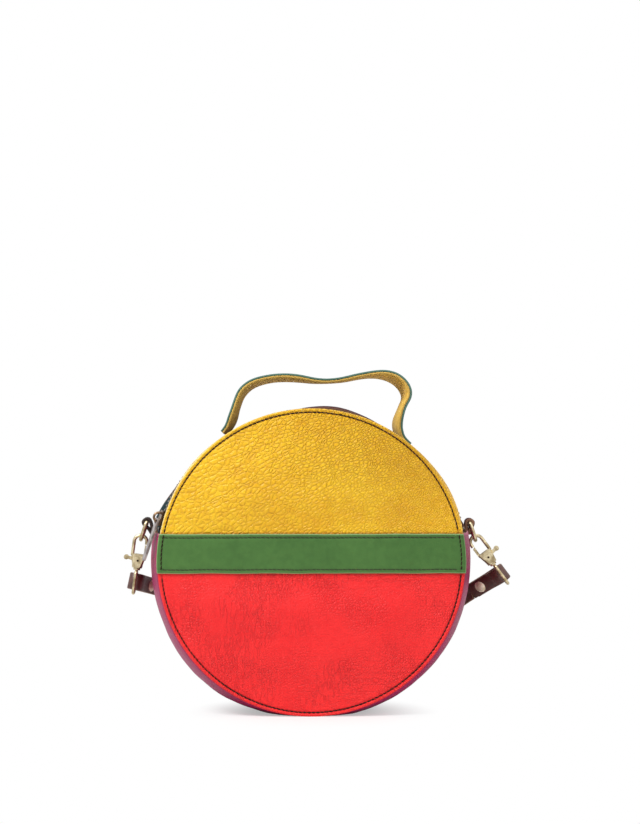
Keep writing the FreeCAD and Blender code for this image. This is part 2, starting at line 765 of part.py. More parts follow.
def make_handle():
    low_y = handle_depth - handle_width / 2
    pad_inset = -soft_gap / 2 - 2 * handle_leather
    outer = barrel(pad_inset, upper_drop)
    pad_shell = outer.cut(barrel(-soft_gap / 2, upper_drop)).common(between(low_y, low_y + handle_width))
    pad_top = max(wall_radius(low_y + handle_width, pad_inset), wall_radius(0, pad_inset)) + soft_gap / 2
    line = [(x, low_y, bag_top + rise) for x, rise in handle_line]
    pieces = rounded_path(line, handle_bend_radius)
    hinge = vec(0, handle_depth, handle_hinge_height)
    width = across_bag * handle_width
    layers = {
        "handle_outer": (handle_leather, 0),
        "handle_inner": (-layer_gap, -layer_gap - handle_leather),
    }
    for name, (one, other) in layers.items():
        grip = ribbon(pieces, -across_bag, one, other, width)
        grip.rotate(hinge, vec(1, 0, 0), -handle_lean)
        save(name, grip)
    ends = {"left": (pieces[0][0], pieces[0][2] - pieces[0][0]),
            "right": (pieces[-1][2], pieces[-1][0] - pieces[-1][2])}
    for name, (point, rise) in ends.items():
        sign = sides[name]
        foot_turn = math.asin((point.x + sign * handle_splay[name]) / pad_top)
        inner_angle = math.degrees(foot_turn - sign * pad_inward[name] / pad_top)
        outer_angle = math.degrees(foot_turn + sign * pad_outward[name] / pad_top)
        pad = pad_shell.common(wedge(min(inner_angle, outer_angle), max(inner_angle, outer_angle)))
        save("handle_end_" + name, pad)
        side = across_bag.cross(rise).normalize() * handle_leather
        grip_end = Part.makePolygon([point - side, point + side, point + side + width,
                                     point - side + width, point - side])
        grip_end.rotate(hinge, vec(1, 0, 0), -handle_lean)
        radial = vec(math.sin(foot_turn), 0, math.cos(foot_turn))
        along = across_bag.cross(radial) * handle_leather
        foot = upper_centre + radial * pad_top + across_bag * low_y
        foot_end = Part.makePolygon([foot - along, foot + along, foot + along + width,
                                     foot - along + width, foot - along])
        save("handle_root_" + name, Part.makeLoft([foot_end, grip_end], True, True))


os.makedirs("parts", exist_ok=True)
make_body()
make_zip()
left_end = make_clip("left", left_ring_standoff, left_stem_lean, left_strap_turn, left_strap_droop)
right_end = make_clip("right", right_ring_standoff, right_stem_lean, right_strap_turn, right_strap_droop)
make_strap(left_end, right_end)
make_handle()
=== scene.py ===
import math
import bmesh
import bpy
from mathutils import Matrix, Vector, noise


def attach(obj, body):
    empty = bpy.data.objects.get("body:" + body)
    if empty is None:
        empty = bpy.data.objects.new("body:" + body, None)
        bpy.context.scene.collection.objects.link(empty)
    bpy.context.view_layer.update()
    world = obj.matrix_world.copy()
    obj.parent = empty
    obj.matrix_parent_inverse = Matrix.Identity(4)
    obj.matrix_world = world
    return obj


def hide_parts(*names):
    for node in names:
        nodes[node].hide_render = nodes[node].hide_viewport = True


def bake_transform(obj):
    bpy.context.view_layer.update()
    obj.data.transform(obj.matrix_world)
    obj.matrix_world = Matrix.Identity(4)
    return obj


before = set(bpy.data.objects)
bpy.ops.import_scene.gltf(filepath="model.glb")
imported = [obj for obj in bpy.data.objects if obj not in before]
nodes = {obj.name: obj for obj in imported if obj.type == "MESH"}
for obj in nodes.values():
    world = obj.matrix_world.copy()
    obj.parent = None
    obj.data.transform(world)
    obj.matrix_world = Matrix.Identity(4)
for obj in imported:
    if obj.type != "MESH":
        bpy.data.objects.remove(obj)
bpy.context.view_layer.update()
print("frame loaded:", len(nodes), "nodes")

mm = 0.001
acrossBag = Vector((0, 1, 0))
upright = Vector((0, 0, 1))

# sizes shared by the sewn pieces, in millimetres
bagShape = {
    "radius": 100.0,
    "middle": 100.0,
    "depth": 70.0,
    "panelLeather": 1.8,
    "wallLeather": 1.6,
    "bulge": 6.0,
    "bandBottom": 93.0,
    "bandTop": 118.5,
    "bandLeather": 1.5,
    "bandOverhang": 0.4,
    "flapGap": 0.3,
    "seamStitch": 2.6,
    "upperDrop": 5.0,
    "foldTop": 130.0,
}
bagRadius, bagMiddle = bagShape["radius"], bagShape["middle"]
bandTop, bandBottom = bagShape["bandTop"], bagShape["bandBottom"]
seamStitch = bagShape["seamStitch"]
wallLeather = bagShape["wallLeather"]
upperMiddle = bagMiddle - bagShape["upperDrop"]
frontY = -bagShape["depth"] / 2
seatY = bagShape["depth"] / 2 - bagShape["panelLeather"]
crownRadius = (seatY ** 2 + bagShape["bulge"] ** 2) / (2 * bagShape["bulge"])
crownCentre = bagRadius + bagShape["bulge"] - crownRadius


def wallRadius(y, inset=0.0):
    return crownCentre + math.sqrt((crownRadius - inset) ** 2 - y * y)


def smooth(low, high, value):
    share = min(1.0, max(0.0, (value - low) / (high - low)))
    return share * share * (3 - 2 * share)


def bell(value, middle, width):
    return math.exp(-((value - middle) / width) ** 2)


def mixed(first, second, share):
    return first + (second - first) * share


def waver(x, y, z):                       # smooth noise, about -1 to 1
    return noise.noise(Vector((x, y, z)))


# shader building
class Sock:
    def __init__(self, tree, link):
        self.tree, self.link = tree, link

    def add(self, kind, settings=None, inputs=None, out=0):
        made = self.tree.nodes.new("ShaderNode" + kind)
        for name, value in (settings or {}).items():
            setattr(made, name, value)
        for place, value in (inputs or {}).items():
            if isinstance(value, Sock):
                self.tree.links.new(value.link, made.inputs[place])
            else:
                made.inputs[place].default_value = value
        return Sock(self.tree, made.outputs[out])

    def sums(self, operation, first, second):
        return self.add("Math", {"operation": operation}, {0: first, 1: second})

    def __add__(self, other):
        return self.sums("ADD", self, other)

    def __radd__(self, other):
        return self.sums("ADD", other, self)

    def __sub__(self, other):
        return self.sums("SUBTRACT", self, other)

    def __rsub__(self, other):
        return self.sums("SUBTRACT", other, self)

    def __mul__(self, other):
        return self.sums("MULTIPLY", self, other)

    def sine(self):
        return self.add("Math", {"operation": "SINE"}, {0: self})

    def within(self, low, high):          # 0 to 1 as the value goes from low to high
        return self.add("MapRange", {"interpolation_type": "SMOOTHSTEP"},
                        {"Value": self, "From Min": low, "From Max": high})

    def blendColours(self, first, second):
        return self.add("Mix", {"data_type": "RGBA"}, {0: self, 6: first, 7: second}, 2)

    def cloud(self, scale, detail, out=0):
        return self.add("TexNoise", {}, {"Vector": self, "Scale": scale, "Detail": detail}, out)

    def feed(self, socket):
        self.tree.links.new(self.link, socket)

    def feedBump(self, shader, strength, distance):
        bump = self.add("Bump", {}, {"Strength": strength, "Distance": distance, "Height": self})
        bump.feed(shader.inputs["Normal"])


def shade(red, green, blue):              # a colour as a picture shows it, 0 to 255, made linear
    values = [part / 255 for part in (red, green, blue)]
    return tuple(v / 12.92 if v <= 0.04045 else ((v + 0.055) / 1.055) ** 2.4 for v in values) + (1.0,)


def newFinish(name):
    material = bpy.data.materials.new(name)
    material.use_nodes = True
    tree = material.node_tree
    place = Sock(tree, tree.nodes.new("ShaderNodeTexCoord").outputs["Object"])
    return material, tree.nodes["Principled BSDF"], place


def mark(place, name):                    # a value that the mesh keeps at its points
    return place.add("Attribute", {"attribute_name": name}, out="Fac")


foldStretch = {"uprightFolds": (360.0, 360.0, 100.0), "lyingFolds": (100.0, 360.0, 360.0)}


def leather(name, look):
    material, shader, place = newFinish(name)
    drift = place.cloud(look["driftScale"], 4.0)
    soft = place.cloud(look["softScale"], 3.0)
    bent = place.add("VectorMath", {"operation": "MULTIPLY_ADD"},
                     {0: place.cloud(look["bendScale"], 2.0, "Color"), 1: (mm, mm, mm), 2: place})
    cells = place.add("TexVoronoi", {"feature": "DISTANCE_TO_EDGE"},
                      {"Vector": bent, "Scale": 1 / (look["cell"] * mm)})
    pores = place.cloud(look["poreScale"], 2.0)
    pebble = cells.within(0.0, 0.3)
    paintedShade = mark(place, "paintedShade")
    raw = mark(place, "raw")
    tone = drift.within(0.3, 0.7) * 0.55 + soft.within(0.25, 0.75) * 0.45
    colour = tone.blendColours(look["dark"], look["light"])
    # painted shade: darker in the grain's valleys, and where the mesh's painted shade mark says so
    low = (1 - pebble) * look["paintedCreaseShade"] + paintedShade * look["paintedShadeTint"]
    height = pebble * look["grain"] + pores * look["pores"]
    if look["stones"]:                    # large pebbles, in cells that the panel lays out
        spot = place.add("CombineXYZ", {}, {0: mark(place, "stoneAlong"), 1: mark(place, "stoneUp")})
        edge = place.add("TexVoronoi", {"feature": "DISTANCE_TO_EDGE", "voronoi_dimensions": "2D"},
                         {"Vector": spot, "Scale": 1.0, "Randomness": 0.9})
        crack = 1 - edge.within(0.0, look["crackWide"])
        crack = crack * crack * mark(place, "stoneSize")
        height = height - crack * look["stones"]
        # painted shade: darker along the cracks between the large pebbles
        low = low + crack * look["paintedCrackShade"]
    if look["wrinkles"]:                  # fine folds, upright and lying
        for label, stretch in foldStretch.items():
            spot = place.add("VectorMath", {"operation": "MULTIPLY"}, {0: bent, 1: stretch})
            off = spot.cloud(1.0, 3.0) - 0.5
            fold = (1 - off * off * look["wrinkleThin"]).within(0.0, 1.0) * mark(place, label)
            height = height - fold * look["wrinkles"]
            # painted shade: darker along the fine folds
            low = low + fold * look["paintedFoldShade"]
    # painted shade: the colour goes towards the deep colour by the sum above
    colour = low.within(0.0, 1.0).blendColours(colour, look["deep"])
    colour = raw.blendColours(colour, look["rawEdge"])
    colour.feed(shader.inputs["Base Color"])
    rough = look["rough"] + (soft - 0.5) * 0.16 + (1 - pebble) * 0.08 + raw * 0.25
    rough.feed(shader.inputs["Roughness"])
    height.feedBump(shader, look["bump"], 0.5 * mm)
    shader.inputs["Specular IOR Level"].default_value = look["gloss"]
    shader.inputs["Specular Tint"].default_value = look["glossTint"]
    shader.inputs["Sheen Weight"].default_value = look["sheen"]
    return material


# in each look, deep is the colour of the painted shade in valleys, cracks, folds and grooves
leatherLook = {
    "driftScale": 22.0, "softScale": 260.0, "bendScale": 300.0, "poreScale": 1500.0, "cell": 1.6, "paintedCreaseShade": 0.12,
    "paintedShadeTint": 0.0, "grain": 0.6, "pores": 0.2, "stones": 0.0, "paintedCrackShade": 0.0, "crackWide": 0.42,
    "wrinkles": 0.0, "paintedFoldShade": 0.0, "wrinkleThin": 260.0, "bump": 0.35, "rough": 0.5, "gloss": 0.3,
    "glossTint": (1, 1, 1, 1), "sheen": 0.0,
}
yellowLeather = leather("yellow_leather", {
    **leatherLook, "dark": shade(226, 165, 8), "light": shade(246, 198, 30), "deep": shade(182, 112, 8),
    "rawEdge": shade(246, 226, 176), "cell": 0.9, "paintedCreaseShade": 0.04, "paintedShadeTint": 0.75, "bump": 1.0, "grain": 0.09,
    "pores": 0.03, "stones": 0.85, "paintedCrackShade": 0.17, "gloss": 0.36, "rough": 0.4,
})
greenLeather = leather("green_leather", {
    **leatherLook, "dark": shade(58, 98, 42), "light": shade(74, 116, 54), "deep": shade(34, 62, 28),
    "rawEdge": shade(138, 172, 116), "cell": 0.9, "paintedCreaseShade": 0.05, "paintedShadeTint": 0.35, "bump": 0.1,
})
redLeather = leather("red_leather", {
    **leatherLook, "dark": shade(235, 25, 29), "light": shade(248, 41, 41), "deep": shade(184, 18, 24),
    "rawEdge": shade(222, 60, 62), "cell": 1.0, "paintedCreaseShade": 0.05, "paintedShadeTint": 0.65, "bump": 1.0, "grain": 0.12,
    "pores": 0.04, "stones": 0.5, "paintedCrackShade": 0.12, "wrinkles": 0.5, "paintedFoldShade": 0.26, "gloss": 0.36, "rough": 0.46,
})
plumLeather = leather("plum_leather", {
    **leatherLook, "dark": shade(130, 12, 62), "light": shade(166, 30, 92), "deep": shade(66, 12, 34),
    "rawEdge": shade(214, 140, 160), "rough": 0.38, "gloss": 0.32, "glossTint": shade(255, 170, 215), "paintedShadeTint": 0.3,
    "bump": 0.15,
})
maroonLeather = leather("maroon_leather", {
    **leatherLook, "dark": shade(50, 18, 24), "light": shade(72, 30, 36), "deep": shade(30, 10, 14),
    "rawEdge": shade(140, 104, 84), "rough": 0.6, "gloss": 0.12, "bump": 0.2,
})
tealLeather = leather("teal_leather", {
    **leatherLook, "dark": shade(34, 70, 76), "light": shade(50, 92, 96), "deep": shade(18, 44, 50),
    "rawEdge": shade(86, 118, 102), "bump": 0.25,
})
suedeYellow = leather("yellow_suede", {
    **leatherLook, "dark": shade(234, 182, 62), "light": shade(254, 214, 108), "deep": shade(150, 104, 24),
    "rawEdge": shade(204, 166, 84), "rough": 0.85, "gloss": 0.1, "sheen": 0.15, "cell": 0.7, "bump": 0.5,
})
blackLeather = leather("black_leather", {
    **leatherLook, "dark": shade(24, 20, 20), "light": shade(40, 34, 34), "deep": shade(10, 8, 8),
    "rawEdge": shade(60, 48, 44), "bump": 0.2,
})
strapLeather = leather("strap_leather", {
    **leatherLook, "dark": shade(70, 34, 26), "light": shade(104, 62, 50), "deep": shade(28, 10, 6),
    "rawEdge": shade(140, 106, 82), "rough": 0.38, "gloss": 0.7, "bump": 0.2, "cell": 1.1,
})


def metal(name, look):
    material, shader, place = newFinish(name)
    worn = place.cloud(240.0, 3.0).within(0.3, 0.7)
    speck = place.cloud(2600.0, 3.0)
    worn.blendColours(look["dark"], look["light"]).feed(shader.inputs["Base Color"])
    (look["rough"] + speck * 0.08 + (1 - worn) * 0.08).feed(shader.inputs["Roughness"])
    speck.feedBump(shader, 0.05, 0.2 * mm)
    shader.inputs["Metallic"].default_value = 1.0
    return material


lightBrass = metal("light_brass", {"dark": shade(150, 132, 98), "light": shade(218, 204, 168), "rough": 0.28})
rivetBrass = metal("rivet_brass", {"dark": shade(226, 212, 182), "light": shade(250, 242, 222), "rough": 0.55})
agedBrass = metal("aged_brass", {"dark": shade(104, 82, 62), "light": shade(150, 124, 98), "rough": 0.26})
silverGrey = metal("silver_grey", {"dark": shade(118, 106, 104), "light": shade(176, 166, 164), "rough": 0.24})
darkPin = metal("dark_pin", {"dark": shade(36, 26, 18), "light": shade(70, 54, 40), "rough": 0.4})
zipMetal = metal("zip_metal", {"dark": shade(70, 58, 48), "light": shade(128, 112, 94), "rough": 0.26})
springSteel = metal("spring_steel", {"dark": shade(140, 140, 144), "light": shade(196, 196, 200), "rough": 0.22})


def cloth(name, look):
    material, shader, place = newFinish(name)
    ends = [place.add("SeparateXYZ", {}, {0: place}, axis) for axis in ("X", "Y", "Z")]
    pitch = 2 * math.pi / (look["yarn"] * mm)
    waves = [(part * pitch).sine() for part in ends]
    weave = (waves[0] + waves[2]) * (waves[1] + waves[0] * 0.5 + 0.4)
    fuzz = place.cloud(900.0, 3.0)
    tone = (weave * 0.2 + fuzz).within(0.2, 0.9)
    tone.blendColours(look["dark"], look["light"]).feed(shader.inputs["Base Color"])
    (look["rough"] + fuzz * 0.1).feed(shader.inputs["Roughness"])
    weave.feedBump(shader, 0.4, 0.3 * mm)
    shader.inputs["Sheen Weight"].default_value = look["sheen"]
    shader.inputs["Specular IOR Level"].default_value = 0.2
    return material


liningCloth = cloth("lining_cloth", {"dark": shade(146, 126, 98), "light": shade(178, 158, 126),
                                     "yarn": 0.9, "rough": 0.8, "sheen": 0.15})
tapeCloth = cloth("tape_cloth", {"dark": shade(14, 36, 42), "light": shade(38, 66, 72), "yarn": 0.7, "rough": 0.75,
                                 "sheen": 0.1})
threadLook = {"dark": shade(24, 12, 8), "light": shade(48, 27, 18), "yarn": 0.5, "rough": 0.7, "sheen": 0.0}
brownThread = cloth("brown_thread", threadLook)
bandThread = cloth("band_thread", {**threadLook, "dark": shade(40, 40, 28), "light": shade(72, 72, 54)})
print("finishes made")


# meshes from points in millimetres, with values kept at the points
def makePiece(name, points, faces, material, marks=None):
    mesh = bpy.data.meshes.new(name)
    mesh.from_pydata([Vector(point) * mm for point in points], [], faces)
    shell = bmesh.new()
    shell.from_mesh(mesh)
    bmesh.ops.recalc_face_normals(shell, faces=shell.faces)
    shell.to_mesh(mesh)
    shell.free()
    for face in mesh.polygons:
        face.use_smooth = True
    mesh.set_sharp_from_angle(angle=math.radians(55))
    for label, values in (marks or {}).items():
        mesh.attributes.new(label, "FLOAT", "POINT").data.foreach_set("value", values)
    mesh.materials.append(material)
    piece = bpy.data.objects.new(name, mesh)
    bpy.context.scene.collection.objects.link(piece)
    return piece


# closed sheet between two grids of points
def slab(front, back):
    rows, columns = len(front), len(front[0])
    half = rows * columns
    points = [point for row in front for point in row] + [point for row in back for point in row]
    faces = []
    for row in range(rows - 1):
        for column in range(columns - 1):
            a = row * columns + column
            faces.append((a, a + 1, a + columns + 1, a + columns))
            faces.append((half + a, half + a + columns, half + a + columns + 1, half + a + 1))
    border = list(range(columns))
    border += [row * columns + columns - 1 for row in range(1, rows)]
    border += [(rows - 1) * columns + column for column in range(columns - 2, -1, -1)]
    border += [row * columns for row in range(rows - 2, 0, -1)]
    for a, b in zip(border, border[1:] + border[:1]):
        faces.append((b, a, half + a, half + b))
    return points, faces


# closed strip along a line, with a section across it
def sweep(line, axes, section):
    count = len(section)
    points = [spot + one * a + two * b for spot, (one, two) in zip(line, axes) for a, b in section]
    faces = []
    for ring in range(len(line) - 1):
        for corner in range(count):
            a = ring * count + corner
            b = ring * count + (corner + 1) % count
            faces.append((a, b, b + count, a + count))
    faces.append(tuple(range(count)))
    faces.append(tuple(range(len(points) - count, len(points))))
    return points, faces


def stripSection(low, high, width, edge):
    half = width / 2
    return [(low, edge - half), (low, 0), (low, half - edge), (low + edge, half), (high - edge, half),
            (high, half - edge), (high, 0), (high, edge - half), (high - edge, -half), (low + edge, -half)]


sectionRaw = [0, 0, 0, 1, 1, 0, 0, 0, 1, 1]     # the section's cut edges


# points along a NURBS spline through the given ones, in millimetres
def smoothLine(points, perPoint):
    curve = bpy.data.curves.new("line", "CURVE")
    curve.dimensions = "3D"
    curve.resolution_u = perPoint
    spline = curve.splines.new("NURBS")
    spline.points.add(len(points) - 1)
    for spot, point in zip(spline.points, points):
        spot.co = (*(Vector(point) * mm), 1.0)
    spline.order_u = 3
    spline.use_endpoint_u = True
    holder = bpy.data.objects.new("line", curve)
    mesh = bpy.data.meshes.new_from_object(holder)
    line = [mesh.vertices[0].co.copy()]
    for corner in mesh.vertices[1:]:
        if (corner.co - line[-1]).length > 0.02 * mm:
            line.append(corner.co.copy())
    bpy.data.objects.remove(holder)
    bpy.data.curves.remove(curve)
    bpy.data.meshes.remove(mesh)
    return [spot / mm for spot in line]


def headings(line):
    ahead = []
    for number in range(len(line)):
        before = line[max(0, number - 1)]
        after = line[min(len(line) - 1, number + 1)]
        ahead.append((after - before).normalized())
    return ahead


threadRow = {"stitch": 2.7, "gap": 0.15, "thread": 0.9, "stations": 5, "sides": 6, "endFat": 0.7, "proud": 0.2,
             "sunk": 0.05, "slant": 0.35, "flat": 0.8}


# row of single stitches along a line, each dipping into the leather at its ends
def stitchRow(name, line, outs, look=threadRow, material=brownThread):
    travelled = [0.0]
    for before, after in zip(line, line[1:]):
        travelled.append(travelled[-1] + (after - before).length)
    pitch = look["stitch"] + look["gap"]
    points, faces = [], []
    part = 0
    for number in range(int((travelled[-1] - look["stitch"]) / pitch) + 1):
        base = len(points)
        for station in range(look["stations"]):
            share = station / (look["stations"] - 1)
            place = number * pitch + share * look["stitch"]
            while part < len(line) - 2 and travelled[part + 1] < place:
                part += 1
            while part > 0 and travelled[part] > place:
                part -= 1
            step = (place - travelled[part]) / max(1e-6, travelled[part + 1] - travelled[part])
            out = outs[part].lerp(outs[part + 1], step).normalized()
            side = (line[part + 1] - line[part]).normalized().cross(out)
            rise = math.sin(math.pi * share)
            fat = look["thread"] / 2 * mixed(look["endFat"], 1, rise)
            middle = line[part].lerp(line[part + 1], step)
            middle += out * look["thread"] * (look["proud"] * rise - look["sunk"])
            middle += side * (share - 0.5) * look["slant"]
            for turn in range(look["sides"]):
                angle = 2 * math.pi * turn / look["sides"]
                points.append(middle + side * fat * math.cos(angle) + out * fat * look["flat"] * math.sin(angle))
        sides = look["sides"]
        for ring in range(look["stations"] - 1):
            for turn in range(sides):
                a = base + ring * sides + turn
                b = base + ring * sides + (turn + 1) % sides
                faces.append((a, b, b + sides, a + sides))
        faces.append(tuple(base + turn for turn in range(sides)))
        faces.append(tuple(len(points) - sides + turn for turn in range(sides)))
    return makePiece(name, points, faces, material)


def standFor(piece, slot, *replaced):
    if replaced:
        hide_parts(*replaced)


def onBody(piece, slot, *replaced):
    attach(piece, "body")
    standFor(piece, slot, *replaced)


def onFlap(piece, slot, *replaced):       # for pieces of the part that folds down, baked where they stand
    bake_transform(piece)
    standFor(piece, slot, *replaced)


# front and back panels
panelCut = {
    "grid": (160, 300), "backGrid": (150, 160), "crown": 3.4, "crownReach": 42, "bandReach": 26, "edgeDrop": 0.7,
    "edgeWide": 0.9, "groove": 0.55, "grooveWide": 0.9, "overlap": 11.5, "lap": 0.4, "tip": 1.2,
    "fuller": [(62, 15, 1.44), (-50, 9, -0.8)],      # degrees from the top, width in degrees, millimetres
}


def panelLift(x, z, banded=True):
    inside = bagRadius - math.hypot(x, z - bagMiddle)
    lift = -panelCut["edgeDrop"] * (1 - smooth(0, panelCut["edgeWide"], inside))
    lift -= panelCut["groove"] * bell(inside, seamStitch, panelCut["grooveWide"])
    crown = panelCut["crown"] * smooth(seamStitch, panelCut["crownReach"], inside)
    if banded:
        fromBand = max(z - bandTop, bandBottom - z, 0)
        crown *= smooth(0, panelCut["bandReach"], fromBand)
    return lift + crown


pebbles = {"focus": (190.0, 210.0), "cells": 92.0, "slope": 15.0, "drawn": 1.5, "red": 1.7}


# pebbles drawn out up to the right, smaller and smaller towards a point off the upper right
def pebbleSpot(x, z):
    along, up = pebbles["focus"][0] - x, z - pebbles["focus"][1]
    u = pebbles["cells"] * math.log(math.hypot(along, up))
    v = pebbles["cells"] * math.atan2(up, along)
    slope = math.radians(pebbles["slope"])
    p = (v * math.sin(slope) - u * math.cos(slope)) / pebbles["drawn"]
    q = v * math.cos(slope) + u * math.sin(slope)
    p += 0.5 * waver(p / 2.3, q / 2.6, 4.0)
    q += 0.5 * waver(p / 2.6, q / 2.3, 14.0)
    return p, q


# long creases that climb to the right from the lower left, and low folds between them
def yellowGrain(x, z):
    left = smooth(30, -75, x)
    low = smooth(165, 122, z)
    sway = 3.0 * waver(x / 16, z / 13, 7.0) + 1.2 * waver(x / 6, z / 5, 17.0)
    turn = math.radians(mixed(30, 8, low))
    along = x * math.cos(turn) + z * math.sin(turn)
    across = (z - 118) * math.cos(turn) - x * math.sin(turn) + sway
    long = waver(along / 34, across / 9, 5.0)
    short = waver(along / 15, across / 6, 15.0)
    branch = waver(along / 13, across / 17, 25.0)
    crease = max(0.0, 1 - abs(long) * 9) * left
    crease = max(crease, 0.6 * max(0.0, 1 - abs(short) * 9) * mixed(0.25, 1.0, left))
    crease = max(crease, 0.8 * max(0.0, 1 - abs(branch) * 12) * left * low)
    fold = waver(along / 40, across / 12, 9.0)
    size = mixed(1.7, 0.9, left) * (1 - 0.45 * low * smooth(-60, 10, x)) * (1 - 0.2 * smooth(55, 92, x))
    # the second value is painted shade, darker along the creases
    return 0.45 * fold * left - 0.3 * crease, 0.4 * crease, (*pebbleSpot(x, z), size, 0.0, 0.0)


# fine grain in patches, with upright folds at the left and lying ones at the right and below
def redGrain(x, z):
    along = x / pebbles["red"] + 0.4 * waver(x / 5, z / 5, 1.0)
    patch = waver(x / 30, z / 26, 4.0)
    standing = smooth(0.0, 0.4, patch + 0.55 * bell(x, -38, 24))
    under = smooth(18, 4, bandBottom - z) * smooth(-20, 30, x)
    low = smooth(50, 25, z) * smooth(-30, 20, x)
    lying = 0.15 + 0.75 * max(under, low) * (1 - 0.6 * smooth(0.0, 0.4, patch))
    size = mixed(0.55, 1.2, smooth(-0.3, 0.4, waver(x / 22, z / 20, 8.0)))
    slow = waver(x / 30, z / 24, 12.0)
    return 0.35 * slow, 0.0, (along, z / pebbles["red"] / 1.2, size, standing, lying)


stoneMarks = ["stoneAlong", "stoneUp", "stoneSize", "uprightFolds", "lyingFolds"]


def panelGrid(name, material, low, high, grain, face):
    front, back, paintedShade, raw = [], [], [], []
    stones = {label: [] for label in stoneMarks}
    banded = face < 0
    rows, columns = panelCut["grid" if banded else "backGrid"]
    for row in range(rows + 1):
        angle = mixed(low, high, row / rows)
        z = bagMiddle + bagRadius * math.cos(angle)
        reach = bagRadius * math.sin(angle)
        fromBand = max(z - bandTop, bandBottom - z)
        frontRow, backRow = [], []
        for column in range(columns + 1):
            share = 2 * column / columns - 1
            x = reach * (0.75 * share + 0.25 * math.sin(share * math.pi / 2))
            if banded:
                turn = math.degrees(math.atan2(x, z - bagMiddle))
                x += abs(share) ** 6 * sum(size * bell(turn, at, wide) for at, wide, size in panelCut["fuller"])
            height, depth, spot = grain(x, z)
            for label, value in zip(stoneMarks, spot):
                stones[label].append(value)
            lift = panelLift(x, z, banded)
            inside = bagRadius - math.hypot(x, z - bagMiddle)
            keep = smooth(1.0, 5.5, inside)
            frontRow.append((x, face * (bagShape["depth"] / 2 + lift + keep * height), z))
            inner = max(0.0, lift) + bagShape["depth"] / 2 - bagShape["panelLeather"]
            backRow.append((x, face * inner, z))
            # painted shade: darker in the groove at the rim stitching and in a line along the band's edges, with the
            # grain's second value, painted shade in its creases and hollows
            seam = 0.9 * bell(inside, seamStitch, 0.6)
            if banded:
                seam = max(seam, 0.9 * (1 - smooth(0.2, 2.0, fromBand)))
            paintedShade.append(max(seam, keep * depth))
            raw.append((1 - smooth(0.15, 0.7, inside)) * mixed(0.2, 0.8, smooth(-50, -85, x)))
        front.append(frontRow)
        back.append(backRow)
    points, faces = slab(front, back)
    marks = {"paintedShade": paintedShade + [0.0] * len(paintedShade), "raw": raw + [1.0] * len(raw)}
    for label, values in stones.items():
        marks[label] = values * 2
    return makePiece(name, points, faces, material, marks)


def angleAt(z, radius=bagRadius, middle=bagMiddle):
    return math.acos((z - middle) / radius)


tip = math.radians(panelCut["tip"])
joinZ = bandTop - panelCut["overlap"]
yellowPanel = panelGrid("yellow_panel", yellowLeather, tip, angleAt(joinZ + panelCut["lap"]), yellowGrain, -1)
onFlap(yellowPanel, "yellow_leather", "front_upper_panel")
redPanel = panelGrid("red_panel", redLeather, angleAt(joinZ - panelCut["lap"]), math.pi - tip, redGrain, -1)
onBody(redPanel, "red_leather", "front_lower_panel")


def plainGrain(x, z):
    slow = waver(x / 26, z / 22, 21.0)
    fine = waver(x / 5, z / 6, 23.0)
    # the second value is painted shade, darker in the low places
    return 0.5 * slow + 0.08 * fine, max(0.0, -0.5 * slow), (0.0,) * len(stoneMarks)


backPanel = panelGrid("back_panel_leather", plumLeather, tip, math.pi - tip, plainGrain, 1)
onBody(backPanel, "plum_leather", "back_panel")
print("panels made")


# band across the front
band = {"rows": 44, "columns": 240, "stitchInset": 2.4, "endStitch": 3.6, "rowEnd": 3.4, "rowSteps": 200, "wave": 0.3,
        "edge": 0.5, "edgeWide": 0.8, "thread": 0.65, "panelGap": 0.01, "endGap": 0.006}


def bandWave(x, share):                   # of the lower edge at 0, of the upper edge at 1
    return band["wave"] * mixed(waver(x / 19, 1, 3), waver(x / 23, 7, 5), share)


def bandLift(x, fromEdge):
    lift = -band["edge"] * (1 - smooth(0, band["edgeWide"], fromEdge))
    lift -= 0.28 * bell(fromEdge, band["stitchInset"], 0.7)
    swell = 0.25 * waver(x / 21, fromEdge / 14, 31.0)
    return lift + swell * smooth(2.5, 6, fromEdge)


front, back, raw, paintedShade = [], [], [], []
for row in range(band["rows"] + 1):
    share = row / band["rows"]
    share = 0.6 * share + 0.4 * smooth(0, 1, share)
    frontRow, backRow = [], []
    for column in range(band["columns"] + 1):
        side = 2 * column / band["columns"] - 1
        height = mixed(bandBottom, bandTop, share)
        reach = math.sqrt((bagRadius + bagShape["bandOverhang"]) ** 2 - (height - bagMiddle) ** 2)
        x = reach * (0.8 * side + 0.2 * math.sin(side * math.pi / 2))
        wave = bandWave(x, share)
        fromEdge = min(share, 1 - share) * (bandTop - bandBottom)
        fromEnd = reach - abs(x)
        lift = bandLift(x, fromEdge) - band["edge"] * (1 - smooth(0, band["edgeWide"], fromEnd))
        lift -= 0.35 * bell(fromEnd, band["endStitch"], 0.8)
        frontRow.append((x, frontY - bagShape["bandLeather"] - lift, height + wave))
        backRow.append((x, frontY - 0.02, height + wave))
        raw.append(max(1 - smooth(0.1, 0.75, fromEdge), 1 - smooth(0.1, 0.6, fromEnd)))
        # painted shade: darker in the groove of each stitch row
        paintedShade.append(0.8 * bell(fromEdge, band["stitchInset"], 0.5))
    front.append(frontRow)
    back.append(backRow)
points, faces = slab(front, back)
bandPiece = makePiece("green_band", points, faces, greenLeather,
                      {"raw": raw + [1.0] * len(raw), "paintedShade": paintedShade + [0.0] * len(paintedShade)})
onBody(bandPiece, "green_leather", "front_band")

